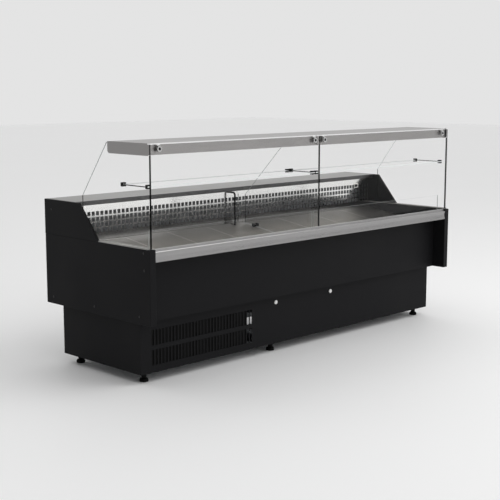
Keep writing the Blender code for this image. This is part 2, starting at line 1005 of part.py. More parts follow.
def make_clamp(name, x):
    """Chromed disc on the pane, with its stem, back plate, arm and hinge knuckle."""
    face = pane_front - gap
    back = pane_front + glass + gap
    clamp = cylinder(name, clamp_radius, 0.003, (x, face - 0.0015, clamp_z), "Y", chrome, 32)
    join(clamp, cylinder("clamp_stem", 0.0058, 0.011, (x, face + 0.0040, clamp_z), "Y", chrome, 20))
    join_box(clamp, (x - 0.0095, back, clamp_z - 0.0130), (x + 0.0095, back + 0.0024, hinge_z + 0.001))
    join(clamp, cylinder("knuckle", 0.0038, 2 * knuckle_half, (x, hinge_y, hinge_z), "X", chrome, 20))
    cut(clamp, cylinder("knuckle_bore", 0.00208, 0.05, (x, hinge_y, hinge_z), "X", chrome, 16))
    return clamp


def make_end_glasses():
    for side, sign in (("left", -1), ("right", 1)):
        outline = (
            (glass_front, side_top + 2 * gap),
            (end_glass_rear, side_top + 2 * gap),
            (end_glass_rear, end_glass_corner),
            (end_glass_top, pane_top),
            (glass_front, pane_top),
        )
        x = sign * end_glass_x
        outline_along_x(f"end_glass_{side}", outline, x - glass / 2, x + glass / 2, clear_glass)


def make_middle_glass():
    """Upright divider between the bays, from the canopy down to the deck."""
    top = canopy_bottom - 0.0005
    over = 0.003
    tail = front + 0.6185
    shoulder = front + 0.292
    foot = deck_front + 0.02
    outline = (
        (glass_front, pane_bottom),
        (front + 0.0235, pane_bottom),
        (front + 0.0235, bumper_bottom + 0.018),
        (foot, bumper_bottom + 0.018),
        (foot, deck_height(foot) + over),
        (tail, deck_height(tail) + over),
        (tail, top - (tail - shoulder)),
        (shoulder, top),
        (glass_front, top),
    )
    outline_along_x("middle_glass", outline, -glass / 2, glass / 2, clear_glass)


def make_shelves_and_deflectors():
    """Glass shelves below the canopy, and low panes that keep the cold air on the deck."""
    for side, sign in (("left", -1), ("right", 1)):
        edges = sorted((sign * (glass / 2 + 2 * gap), sign * (end_glass_x - glass / 2 - 2 * gap)))
        box(
            f"glass_shelf_{side}",
            (edges[0], shelf_front, shelf_height - glass / 2),
            (edges[1], shelf_rear, shelf_height + glass / 2),
            clear_glass,
        )
        edges = sorted((sign * 0.008, sign * 1.235))
        box(
            f"air_deflector_{side}",
            (edges[0], front + 0.0575, bumper_bottom + 0.0153),
            (edges[1], front + 0.0625, 0.815),
            clear_glass,
        )


make_base_frame()
make_feet()
make_base_covers()
make_cover_locks()
make_mains_inlet()
make_compressor()
make_condenser()
make_condenser_fan()
make_tub()
make_evaporator()
make_fan_plate()
make_evaporator_fans()
make_deck_plates()
make_side_panels()
make_cladding()
make_controls()
make_worktop()
make_bumper()
make_rear_wall()
make_probe_tube()
make_canopy()
make_canopy_ends()
make_front_panes()
make_end_glasses()
make_middle_glass()
make_shelves_and_deflectors()
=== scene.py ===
import json
import math
import time

import bmesh
import bpy
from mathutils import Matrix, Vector


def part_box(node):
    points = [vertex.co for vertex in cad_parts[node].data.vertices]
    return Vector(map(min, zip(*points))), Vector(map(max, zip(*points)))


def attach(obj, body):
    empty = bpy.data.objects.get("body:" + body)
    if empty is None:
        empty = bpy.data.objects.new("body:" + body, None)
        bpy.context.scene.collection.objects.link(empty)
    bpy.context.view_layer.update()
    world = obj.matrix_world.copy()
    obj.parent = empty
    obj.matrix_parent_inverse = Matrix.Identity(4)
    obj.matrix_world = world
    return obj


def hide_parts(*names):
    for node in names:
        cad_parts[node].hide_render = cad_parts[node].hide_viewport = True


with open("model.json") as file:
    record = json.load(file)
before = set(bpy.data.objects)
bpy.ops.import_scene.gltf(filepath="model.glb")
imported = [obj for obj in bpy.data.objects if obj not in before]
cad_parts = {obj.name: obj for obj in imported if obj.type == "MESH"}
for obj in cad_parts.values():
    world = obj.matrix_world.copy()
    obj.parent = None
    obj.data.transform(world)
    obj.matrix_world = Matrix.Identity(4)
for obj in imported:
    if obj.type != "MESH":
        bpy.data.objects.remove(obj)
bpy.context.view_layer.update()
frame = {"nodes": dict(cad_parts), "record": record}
startTime = time.time()


def report(stage):
    print(f"{time.time() - startTime:6.1f} s  {stage}")


bpy.ops.object.select_all(action="DESELECT")
nodes = frame["nodes"]
caseBody = "case"
slack = 0.0001  # how far a corner may be from the plane that it is chosen by
farOff = 1.0  # how far a cutting block reaches past the piece that it cuts


def low(node):
    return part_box(node)[0]


def high(node):
    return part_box(node)[1]


# Standing eye height, turned 45 degrees from the front and tipped a little down
camera = {
    "place": (-4.66635, -4.55072, 1.55092),
    "turn": -44.928,  # degrees about Z, from looking along +Y
    "tip": 8.8065,  # degrees below level
    "lens": 77.77,
    "sensor": 36.0,
    "farthest": 200,
}


def makeCamera():
    bpy.ops.object.camera_add(
        location=camera["place"],
        rotation=(math.radians(90 - camera["tip"]), 0, math.radians(camera["turn"])),
    )
    eye = bpy.context.object
    eye.name = "camera"
    eye.data.lens = camera["lens"]
    eye.data.sensor_width = camera["sensor"]
    eye.data.clip_end = camera["farthest"]
    bpy.context.scene.camera = eye


makeCamera()
bpy.context.scene.view_settings.view_transform = "Standard"
report("camera")


def linear(hexColour):
    # sRGB hex to the linear values that sockets take
    channels = []
    for i in (1, 3, 5):
        value = int(hexColour[i : i + 2], 16) / 255
        channels.append(value / 12.92 if value <= 0.04045 else ((value + 0.055) / 1.055) ** 2.4)
    return (*channels, 1.0)


def addNode(tree, kind, values=None, links=None, **settings):
    node = tree.nodes.new(kind)
    for name, value in settings.items():
        setattr(node, name, value)
    for name, value in (values or {}).items():
        node.inputs[name].default_value = value
    for name, socket in (links or {}).items():
        tree.links.new(socket, node.inputs[name])
    return node


def newMaterial(name, values):
    material = bpy.data.materials.new(name)
    material.use_nodes = True
    shader = material.node_tree.nodes["Principled BSDF"]
    for socket, value in values.items():
        shader.inputs[socket].default_value = value
    return material, material.node_tree, shader


def fromTo(source, target):
    # The ends of a range and of the range that it becomes
    return {"From Min": source[0], "From Max": source[1], "To Min": target[0], "To Max": target[1]}


noiseMiddle = (0.3, 0.7)  # most of a noise lies between these

powderCoatLook = {
    "colour": "#161617",
    "worn": "#1b1b1d",
    "roughness": (0.42, 0.54),
    "specular": 0.07,  # the flatting agent in a deep matt coat keeps its sheen low
    "cloud": 2.2,  # clouds in each metre, where the coat is a little thicker
    "cloudRange": (0.35, 0.65),
    "grainMm": 1.6,  # the orange peel of baked powder, drawn a little coarse so that it shows
    "bump": 0.05,
}


def makePowderCoat(name, look):
    # Sheet steel with a fine matt polyester powder coat: near black, soft highlights, orange peel
    material, tree, shader = newMaterial(name, {"IOR": 1.5, "Specular IOR Level": look["specular"]})
    place = addNode(tree, "ShaderNodeTexCoord").outputs["Object"]
    cloud = addNode(
        tree, "ShaderNodeTexNoise", {"Scale": look["cloud"], "Detail": 3.0}, {"Vector": place}
    )
    tint = addNode(
        tree,
        "ShaderNodeMix",
        {6: linear(look["colour"]), 7: linear(look["worn"])},
        {0: cloud.outputs["Fac"]},
        data_type="RGBA",
    )
    tree.links.new(tint.outputs[2], shader.inputs["Base Color"])
    rough = addNode(
        tree,
        "ShaderNodeMapRange",
        fromTo(look["cloudRange"], look["roughness"]),
        {"Value": cloud.outputs["Fac"]},
    )
    tree.links.new(rough.outputs["Result"], shader.inputs["Roughness"])
    peel = addNode(
        tree, "ShaderNodeTexNoise", {"Scale": 1000 / look["grainMm"], "Detail": 2.0}, {"Vector": place}
    )
    bump = addNode(
        tree,
        "ShaderNodeBump",
        {"Strength": look["bump"], "Distance": 0.0004},
        {"Height": peel.outputs["Fac"]},
    )
    tree.links.new(bump.outputs["Normal"], shader.inputs["Normal"])
    return material


def beyond(tree, source, output, limit, operation="GREATER_THAN"):
    # 1 where that output is past the limit, such as on one side of a plane, and 0 elsewhere
    test = addNode(
        tree, "ShaderNodeMath", {1: limit}, {0: source.outputs[output]}, operation=operation
    )
    return test.outputs[0]


def recolour(tree, colour, mask, hexColour):
    # The colour given wherever the mask is 1, and what was there before elsewhere
    mix = addNode(
        tree, "ShaderNodeMix", {7: linear(hexColour)}, {0: mask, 6: colour}, data_type="RGBA"
    )
    return mix.outputs[2]


cloudShare = 0.45  # how much the slow clouds count beside the scratches


def makeBrushedMetal(name, look):
    # Metal with a belt-brushed finish: fine scratches all one way, and slow clouds from handling
    material, tree, shader = newMaterial(name, {"Metallic": 1.0})
    place = addNode(tree, "ShaderNodeTexCoord").outputs["Object"]
    hair = addNode(tree, "ShaderNodeMapping", {"Scale": look["grain"]}, {"Vector": place})
    scratch = addNode(
        tree,
        "ShaderNodeTexNoise",
        {"Scale": 1.0, "Detail": 3.0, "Roughness": 0.6},
        {"Vector": hair.outputs[0]},
    )
    cloud = addNode(
        tree, "ShaderNodeTexNoise", {"Scale": look["cloud"], "Detail": 2.0}, {"Vector": place}
    )
    blend = addNode(
        tree,
        "ShaderNodeMix",
        {0: cloudShare},
        {2: scratch.outputs["Fac"], 3: cloud.outputs["Fac"]},
        data_type="FLOAT",
    )
    tint = addNode(
        tree,
        "ShaderNodeMix",
        {6: linear(look["dark"]), 7: linear(look["light"])},
        {0: blend.outputs[0]},
        data_type="RGBA",
    )
    colour = tint.outputs[2]
    axes = addNode(tree, "ShaderNodeSeparateXYZ", None, {"Vector": place})
    if "fold" in look:
        # Painted reflection: the front face is drawn darker in front of that plane, standing in for the
        # dark things that it reflects
        mask = beyond(tree, axes, "Y", look["fold"]["plane"], "LESS_THAN")
        colour = recolour(tree, colour, mask, look["fold"]["colour"])
    if "bend" in look:
        # Painted highlight: the sheet is drawn bright where it bends at the top of its front, where the
        # bend catches the light
        near = beyond(tree, axes, "Y", look["bend"]["y"], "LESS_THAN")
        over = beyond(tree, axes, "Z", look["bend"]["z"])
        both = addNode(tree, "ShaderNodeMath", None, {0: near, 1: over}, operation="MULTIPLY")
        colour = recolour(tree, colour, both.outputs[0], look["bend"]["colour"])
    if "seamHighlight" in look:
        # Painted highlight: the plates are drawn bright where their edges meet, once in every pitch
        # along X, standing in for the light that their rounded folds catch
        fromSeam = addNode(
            tree,
            "ShaderNodeMath",
            {1: look["seamHighlight"]["pitch"] / 2},
            {0: axes.outputs["X"]},
            operation="PINGPONG",
        )
        seamHighlightMask = beyond(tree, fromSeam, 0, look["seamHighlight"]["half"], "LESS_THAN")
        colour = recolour(tree, colour, seamHighlightMask, look["seamHighlight"]["colour"])
    tree.links.new(colour, shader.inputs["Base Color"])
    rough = addNode(
        tree,
        "ShaderNodeMapRange",
        fromTo(noiseMiddle, look["roughness"]),
        {"Value": blend.outputs[0]},
    )
    tree.links.new(rough.outputs["Result"], shader.inputs["Roughness"])
    bump = addNode(
        tree,
        "ShaderNodeBump",
        {"Strength": look["bump"], "Distance": 0.0002},
        {"Height": scratch.outputs["Fac"]},
    )
    tree.links.new(bump.outputs["Normal"], shader.inputs["Normal"])
    return material


# Scratches in each metre: a belt leaves them 110 mm long, and 0.7 mm across is as fine as shows
alongX = (9.0, 1400.0, 1400.0)
alongY = (1400.0, 9.0, 1400.0)

# Brushed stainless bench: mid grey and streaky; its front edge is folded, and its front face carries a
# painted dark reflection
worktopLook = {
    "dark": "#787775",
    "light": "#9b9a97",
    "roughness": (0.26, 0.40),
    "grain": alongX,
    "cloud": 3.0,
    "bump": 0.12,
    # the front face in front of this plane is painted darker, as a painted reflection of dark things
    "fold": {"plane": low("worktop").y + 0.0018, "colour": "#5e5e5e"},
}
# Brushed stainless shelf, handled less, so lighter and more even
canopyLook = {
    "dark": "#939190",
    "light": "#adabaa",
    "roughness": (0.28, 0.42),
    "grain": alongX,
    "cloud": 2.5,
    "bump": 0.10,
    # the painted highlight reaches 4 mm behind the sheet's front, and the hinge lugs stand 7.8 mm
    # before that
    "bend": {"y": low("canopy").y + 0.0118, "z": high("canopy").z - 0.0055, "colour": "#f4f4f4"},
}
# Stainless plates that goods are dragged over: darker and duller than the bench
deckLook = {
    "dark": "#585653",
    "light": "#6f6d6a",
    "roughness": (0.30, 0.48),
    "grain": alongY,  # plates are cut with their grain running front to back
    "cloud": 5.0,
    "bump": 0.10,
    # painted highlight along the seams, where the rounded plate edges catch the light
    "seamHighlight": {"pitch": 0.310, "half": 0.0030, "colour": "#a6a4a0"},
}
# Mirror-polished stainless: it shows the lamp above it and the dark deck below it
airWallLook = {
    "dark": "#f4f4f2",
    "light": "#fbfbf9",
    "roughness": (0.11, 0.17),
    "grain": alongX,
    "cloud": 4.0,
    "bump": 0.0,
}
# Extruded aluminium, satin anodised: pale grey with faint lines along the extrusion
bumperLook = {
    "dark": "#8e8d8d",
    "light": "#a6a5a5",
    "roughness": (0.24, 0.34),
    "grain": alongX,
    "cloud": 2.0,
    "bump": 0.06,
}
# Rolled aluminium fins pressed on pipes: pale, with a darker streak about every 2.5 mm
finLook = {
    "dark": "#a9abad",
    "light": "#d2d3d4",
    "roughness": (0.30, 0.45),
    "grain": (60.0, 400.0, 60.0),
    "cloud": 30.0,
    "bump": 0.15,
}
# Chromed brass: nearly a mirror, with polishing marks about 3 mm apart, drawn coarse to show
chromeLook = {
    "dark": "#bdbdbd",
    "light": "#d6d6d6",
    "roughness": (0.06, 0.12),
    "grain": (300.0, 300.0, 300.0),
    "cloud": 60.0,
    "bump": 0.01,
}

galvanisedLook = {"dark": "#8b8f92", "light": "#b3b6b8", "spangleMm": 11, "roughness": (0.35, 0.55)}


def makeGalvanised(name, look):
    # Hot-dip galvanised sheet: flat crystals of zinc about a centimetre across, each its own grey
    material, tree, shader = newMaterial(name, {"Metallic": 0.9})
    place = addNode(tree, "ShaderNodeTexCoord").outputs["Object"]
    crystal = addNode(
        tree, "ShaderNodeTexVoronoi", {"Scale": 1000 / look["spangleMm"]}, {"Vector": place}
    )
    shade = addNode(tree, "ShaderNodeSeparateColor", None, {0: crystal.outputs["Color"]})
    tint = addNode(
        tree,
        "ShaderNodeMix",
        {6: linear(look["dark"]), 7: linear(look["light"])},
        {0: shade.outputs[0]},
        data_type="RGBA",
    )
    tree.links.new(tint.outputs[2], shader.inputs["Base Color"])
    rough = addNode(
        tree,
        "ShaderNodeMapRange",
        fromTo((0.0, 1.0), look["roughness"]),
        {"Value": shade.outputs[1]},
    )
    tree.links.new(rough.outputs["Result"], shader.inputs["Roughness"])
    return material


mottle = 14.0  # spots in each metre: the slow unevenness of a moulding, about 70 mm across


def makeMoulded(name, look):
    # Moulded rubber or plastic: even colour with a spark-eroded grain and slight mottling
    material, tree, shader = newMaterial(
        name, {"IOR": 1.5, "Specular IOR Level": look.get("specular", 0.5)}
    )
    place = addNode(tree, "ShaderNodeTexCoord").outputs["Object"]
    grain = addNode(
        tree, "ShaderNodeTexNoise", {"Scale": 1000 / look["grainMm"], "Detail": 3.0}, {"Vector": place}
    )
    uneven = addNode(tree, "ShaderNodeTexNoise", {"Scale": mottle, "Detail": 2.0}, {"Vector": place})
    tint = addNode(
        tree,
        "ShaderNodeMix",
        {6: linear(look["dark"]), 7: linear(look["light"])},
        {0: uneven.outputs["Fac"]},
        data_type="RGBA",
    )
    tree.links.new(tint.outputs[2], shader.inputs["Base Color"])
    rough = addNode(
        tree,
        "ShaderNodeMapRange",
        fromTo(noiseMiddle, look["roughness"]),
        {"Value": uneven.outputs["Fac"]},
    )
    tree.links.new(rough.outputs["Result"], shader.inputs["Roughness"])
    bump = addNode(
        tree,
        "ShaderNodeBump",
        {"Strength": look["bump"], "Distance": 0.0003},
        {"Height": grain.outputs["Fac"]},
    )
    tree.links.new(bump.outputs["Normal"], shader.inputs["Normal"])
    return material


# Moulded EPDM rubber: deep black, and so rough that it hardly shines
rubberLook = {
    "dark": "#070707",
    "light": "#0d0d0d",
    "roughness": (0.6, 0.8),
    "grainMm": 1.2,
    "bump": 0.2,
    "specular": 0.12,
}
# Moulded ABS: black with a fine spark-eroded grain and a soft sheen
absLook = {
    "dark": "#0b0b0c",
    "light": "#111113",
    "roughness": (0.38, 0.5),
    "grainMm": 0.8,
    "bump": 0.12,
    "specular": 0.2,
}
# Polished moulded plastic: warm white with clear highlights
whiteLook = {
    "dark": "#e4e4e2",
    "light": "#f4f4f2",
    "roughness": (0.25, 0.35),
    "grainMm": 1.0,
    "bump": 0.04,
}
# Coated sheet round the foam of the tub: plain grey, slightly dimpled
tubLook = {
    "dark": "#8e9092",
    "light": "#a2a4a6",
    "roughness": (0.4, 0.55),
    "grainMm": 3.0,
    "bump": 0.1,
}
# Baked enamel on the compressor: black and glossy, with a slight orange peel
enamelLook = {
    "dark": "#09090a",
    "light": "#111113",
    "roughness": (0.2, 0.3),
    "grainMm": 2.0,
    "bump": 0.05,
}

glassLook = {
    "tint": "#ffffff",
    "darkShadedEdge": "#030404",  # painted shade on the ground edges, seen end on through the whole width of the pane
    # the paler edge colours are painted light, where light comes out of the ground edges
    "edge": "#bcc2c1",
    "paleLitEdge": "#e9edec",
    "litEdge": "#ffffff",
    "edgeRoughness": 0.25,
    "edgeSpecular": 0.15,
    "edgeIor": 1.52,
    "faceIor": 1.45,
    "sheen": (0.01, 0.04),
    "reflection": 0.3,  # the share of its reflections that the pane keeps
}


def makeGlass(name, look, axis, faces, edge, otherEdge, otherAxis, limits):
    # Clear tempered float glass: nearly invisible square on, reflecting at a slant. axis is across
    # the pane and the two face planes lie just inside it; beyond the limits on the other axis the
    # ground edge has its second colour. The edge colours are painted light and painted shade: pale
    # where the light inside the pane comes out, near black where the edge is in shade.
    material, tree, shader = newMaterial(
        name,
        {
            "Roughness": look["edgeRoughness"],
            "IOR": look["edgeIor"],
            "Specular IOR Level": look["edgeSpecular"],
        },
    )
    place = addNode(tree, "ShaderNodeTexCoord").outputs["Object"]
    axes = addNode(tree, "ShaderNodeSeparateXYZ", None, {"Vector": place})
    above = beyond(tree, axes, axis, faces[0])
    below = beyond(tree, axes, axis, faces[1], "LESS_THAN")
    onEdge = addNode(tree, "ShaderNodeMath", None, {0: above, 1: below}, operation="MULTIPLY")
    before = beyond(tree, axes, otherAxis, limits[0], "LESS_THAN")
    after = beyond(tree, axes, otherAxis, limits[1])
    other = addNode(tree, "ShaderNodeMath", None, {0: before, 1: after}, operation="ADD")
    tint = addNode(
        tree,
        "ShaderNodeMix",
        {6: linear(look[edge]), 7: linear(look[otherEdge])},
        {0: other.outputs[0]},
        data_type="RGBA",
    )
    tree.links.new(tint.outputs[2], shader.inputs["Base Color"])
    smear = addNode(tree, "ShaderNodeTexNoise", {"Scale": 3.0, "Detail": 2.0}, {"Vector": place})
    sheen = addNode(
        tree,
        "ShaderNodeMapRange",
        fromTo(noiseMiddle, look["sheen"]),
        {"Value": smear.outputs["Fac"]},
    )
    clear = addNode(tree, "ShaderNodeBsdfTransparent", {"Color": linear(look["tint"])})
    gloss = addNode(
        tree, "ShaderNodeBsdfGlossy", {"Color": (1, 1, 1, 1)}, {"Roughness": sheen.outputs["Result"]}
    )
    fresnel = addNode(tree, "ShaderNodeFresnel", {"IOR": look["faceIor"]})
    # Only the face towards the viewer reflects: from inside, the far face would reflect in full
    inside = addNode(tree, "ShaderNodeNewGeometry").outputs["Backfacing"]
    outside = addNode(
        tree, "ShaderNodeMath", {0: look["reflection"]}, {1: inside}, operation="SUBTRACT"
    )
    share = addNode(tree, "ShaderNodeMath", {1: 0.0}, {0: outside.outputs[0]}, operation="MAXIMUM")
    amount = addNode(
        tree, "ShaderNodeMath", None, {0: fresnel.outputs[0], 1: share.outputs[0]}, operation="MULTIPLY"
    )
    face = addNode(
        tree,
        "ShaderNodeMixShader",
        None,
        {0: amount.outputs[0], 1: clear.outputs[0], 2: gloss.outputs[0]},
    )
    whole = addNode(
        tree,
        "ShaderNodeMixShader",
        None,
        {0: onEdge.outputs[0], 1: face.outputs[0], 2: shader.outputs[0]},
    )
    out = tree.nodes["Material Output"]
    tree.links.new(whole.outputs[0], out.inputs["Surface"])
    return material


# Silicone drawn from a gun and smoothed by hand: dark grey with a soft shine
siliconeLook = {
    "dark": "#2c2d2d",
    "light": "#383939",
    "roughness": (0.35, 0.5),
    "grainMm": 3.0,
    "bump": 0.05,
}
# Blackened steel: nearly black, with small clear highlights
screwLook = {
    "dark": "#141415",
    "light": "#1f1f20",
    "roughness": (0.3, 0.4),
    "grainMm": 0.6,
    "bump": 0.05,
}
# Embossed polyester foil over the keys: mid grey and satin
keyLook = {
    "dark": "#6f7274",
    "light": "#7d8082",
    "roughness": (0.35, 0.45),
    "grainMm": 0.8,
    "bump": 0.05,
}
# Drawn aluminium strip: silver, with die lines from front to back
ledgeLook = {
    "dark": "#8d8c8a",
    "light": "#a8a7a5",
    "roughness": (0.25, 0.36),
    "grain": alongY,
    "cloud": 4.0,
    "bump": 0.05,
}

lampLook = {"colour": "#fff9ee", "strength": 6.0}  # warm white lamps
figureLook = {"colour": "#ff3a20", "strength": 2.0}  # red figures
cover = {
    "colour": "#f2f2ee",
    "roughness": 0.35,
    "fade": (1.05, 1.2),  # metres from the middle, where the row of lamps ends
    "endShare": 0.8,  # how bright its ends are beside its middle
}


def makeLampCover(name, look):
    # Opal polycarbonate over a row of white lamps: it glows evenly, a little less at its ends
    material, tree, shader = newMaterial(
        name,
        {
            "Base Color": linear(cover["colour"]),
            "Roughness": cover["roughness"],
            "Emission Color": linear(look["colour"]),
        },
    )
    place = addNode(tree, "ShaderNodeTexCoord").outputs["Object"]
    axes = addNode(tree, "ShaderNodeSeparateXYZ", None, {"Vector": place})
    away = addNode(tree, "ShaderNodeMath", None, {0: axes.outputs["X"]}, operation="ABSOLUTE")
    glow = addNode(
        tree,
        "ShaderNodeMapRange",
        fromTo(cover["fade"], (look["strength"], look["strength"] * cover["endShare"])),
        {"Value": away.outputs[0]},
    )
    tree.links.new(glow.outputs["Result"], shader.inputs["Emission Strength"])
    return material


blackSteel = makePowderCoat("powderCoatedSteel", powderCoatLook)
worktopSteel = makeBrushedMetal("brushedStainlessWorktop", worktopLook)
canopySteel = makeBrushedMetal("brushedStainlessCanopy", canopyLook)
deckSteel = makeBrushedMetal("brushedStainlessDeck", deckLook)
wallSteel = makeBrushedMetal("polishedStainlessWall", airWallLook)
bumperAluminium = makeBrushedMetal("satinAnodisedAluminium", bumperLook)
finAluminium = makeBrushedMetal("rolledAluminiumFins", finLook)
chromedBrass = makeBrushedMetal("chromedBrass", chromeLook)
galvanisedSteel = makeGalvanised("galvanisedSteel", galvanisedLook)
blackRubber = makeMoulded("mouldedRubber", rubberLook)
blackAbs = makeMoulded("mouldedAbs", absLook)
whiteAbs = makeMoulded("mouldedWhitePlastic", whiteLook)
tubSkin = makeMoulded("tubSkin", tubLook)
compressorEnamel = makeMoulded("bakedEnamel", enamelLook)
opalLamp = makeLampCover("opalPolycarbonate", lampLook)
ledgeAluminium = makeBrushedMetal("drawnAluminiumLedge", ledgeLook)
darkSilicone = makeMoulded("siliconeBead", siliconeLook)
screwSteel = makeMoulded("blackenedSteelScrew", screwLook)
keyRubber = makeMoulded("sealedKeyFoil", keyLook)
litFigures = makeLampCover("litFigures", figureLook)


def dress(node, material):
    for slot in nodes[node].material_slots:
        slot.material = material


slotMaterials = {
    "black_steel": blackSteel,
    "stainless": canopySteel,
    "bumper_profile": bumperAluminium,
    "chrome": chromedBrass,
    "tub_skin": tubSkin,
    "galvanised": galvanisedSteel,
    "black_rubber": blackRubber,
    "black_plastic": blackAbs,
    "white_plastic": whiteAbs,
    "aluminium_fins": finAluminium,
    "compressor_paint": compressorEnamel,
}
deckPlates = 8
edgeIn = 0.0004  # how far inside a pane's faces its edge begins


def dressNodes():
    for part in frame["record"]["subparts"]:
        slot = part["material_slot"]
        if slot in slotMaterials:
            dress(part["node"], slotMaterials[slot])
    dress("worktop", worktopSteel)
    dress("air_wall", wallSteel)
    dress("lamp", opalLamp)
    for i in range(1, deckPlates + 1):
        dress(f"deck_plate_{i}", deckSteel)
    # axis across the pane, names, edge colour, second edge colour and the axis it belongs to
    # each pane's ground edges get painted shade on some sides and painted light on others
    panes = (
        ("Y", ("front_glass_left", "front_glass_right"), "darkShadedEdge", "litEdge", "Z"),
        ("Y", ("air_deflector_left", "air_deflector_right"), "paleLitEdge", "edge", "X"),
        ("X", ("end_glass_left", "end_glass_right", "middle_glass"), "edge", "darkShadedEdge", "Y"),
        ("Z", ("glass_shelf_left", "glass_shelf_right"), "paleLitEdge", "darkShadedEdge", "X"),
    )
    for axis, names, edge, otherEdge, otherAxis in panes:
        index = "XYZ".index(axis)
        other = "XYZ".index(otherAxis)
        for name in names:
            faces = (low(name)[index] + edgeIn, high(name)[index] - edgeIn)
            limits = (low(name)[other] + edgeIn, high(name)[other] - edgeIn)
            material = "floatGlass_" + name
            dress(
                name,
                makeGlass(material, glassLook, axis, faces, edge, otherEdge, otherAxis, limits),
            )


dressNodes()
report("materials")


def openMesh():
    bpy.ops.object.mode_set(mode="EDIT")
    return bmesh.from_edit_mesh(bpy.context.object.data)


def choose(mesh, kind, test):
    # Selects the vertices, edges or faces that the test is true for, and nothing else
    bpy.ops.mesh.select_mode(type=kind)
    bpy.ops.mesh.select_all(action="DESELECT")
    parts = {"VERT": mesh.verts, "EDGE": mesh.edges, "FACE": mesh.faces}[kind]
    for part in parts:
        if test(part):
            part.select_set(True)
    bmesh.update_edit_mesh(bpy.context.object.data)


def middle(edge):
    return (edge.verts[0].co + edge.verts[1].co) / 2


smoothUpTo = 35  # degrees between two faces that shade as one


def finishMesh(name, material, smooth=True):
    # Closes edit mode and leaves the object at the origin with its place in its mesh
    if bpy.context.object.mode == "EDIT":
        bpy.ops.object.mode_set(mode="OBJECT")
    piece = bpy.context.object
    bpy.ops.object.transform_apply(location=True, rotation=True, scale=True)
    piece.name = name
    piece.data.name = name
    piece.data.materials.clear()
    piece.data.materials.append(material)
    if smooth:
        bpy.ops.object.shade_smooth_by_angle(angle=math.radians(smoothUpTo))
    return piece


def addBlock(lowCorner, highCorner):
    start = Vector(lowCorner)
    size = Vector(highCorner) - start
    bpy.ops.mesh.primitive_cube_add(size=1, location=start + size / 2)
    block = bpy.context.object
    block.scale = size
    bpy.ops.object.transform_apply(location=True, rotation=True, scale=True)
    return block


def roundEdges(width, segments=2):
    openMesh()
    bpy.ops.mesh.select_all(action="SELECT")
    bpy.ops.mesh.bevel(offset=width, segments=segments, affect="EDGES")
    bpy.ops.object.mode_set(mode="OBJECT")


def carve(piece, tool, operation="DIFFERENCE"):
    # Takes the tool away from the piece, or adds it, and removes the tool
    bpy.ops.object.select_all(action="DESELECT")
    bpy.context.view_layer.objects.active = piece
    piece.select_set(True)
    modifier = piece.modifiers.new("carve", "BOOLEAN")
    modifier.operation = operation
    modifier.object = tool
    modifier.solver = "EXACT"
    bpy.ops.object.modifier_apply(modifier="carve")
    bpy.data.objects.remove(tool, do_unlink=True)


def joinAll(pieces):
    bpy.ops.object.select_all(action="DESELECT")
    for piece in pieces:
        piece.select_set(True)
    bpy.context.view_layer.objects.active = pieces[0]
    bpy.ops.object.join()
    return bpy.context.object


def copyPiece(source, name, scale=(1, 1, 1), shift=(0, 0, 0), body=caseBody):
    # A copy with its own mesh, mirrored or moved, with its faces turned outwards again
    bpy.ops.object.select_all(action="DESELECT")
    source.select_set(True)
    bpy.context.view_layer.objects.active = source
    bpy.ops.object.duplicate(linked=False)
    copy = bpy.context.object
    copy.name = name
    copy.data.name = name
    copy.scale = scale
    copy.location = shift
    bpy.ops.object.transform_apply(location=True, rotation=True, scale=True)
    if scale[0] * scale[1] * scale[2] < 0:
        openMesh()
        bpy.ops.mesh.select_all(action="SELECT")
        bpy.ops.mesh.normals_make_consistent(inside=False)
        bpy.ops.object.mode_set(mode="OBJECT")
    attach(copy, body)
    return copy


wall = {
    "columns": 84,
    "rows": 4,
    "slotsLow": 0.734,
    "slotsHigh": 0.860,
    "rim": 0.0043,  # half the web between two slots
    "thick": 0.0012,
    "half": 1.2394,
    "earLow": 0.7352,
    "inset": 0.0002,  # inside the plain sheet that it stands for
    "endGap": 0.0003,
}


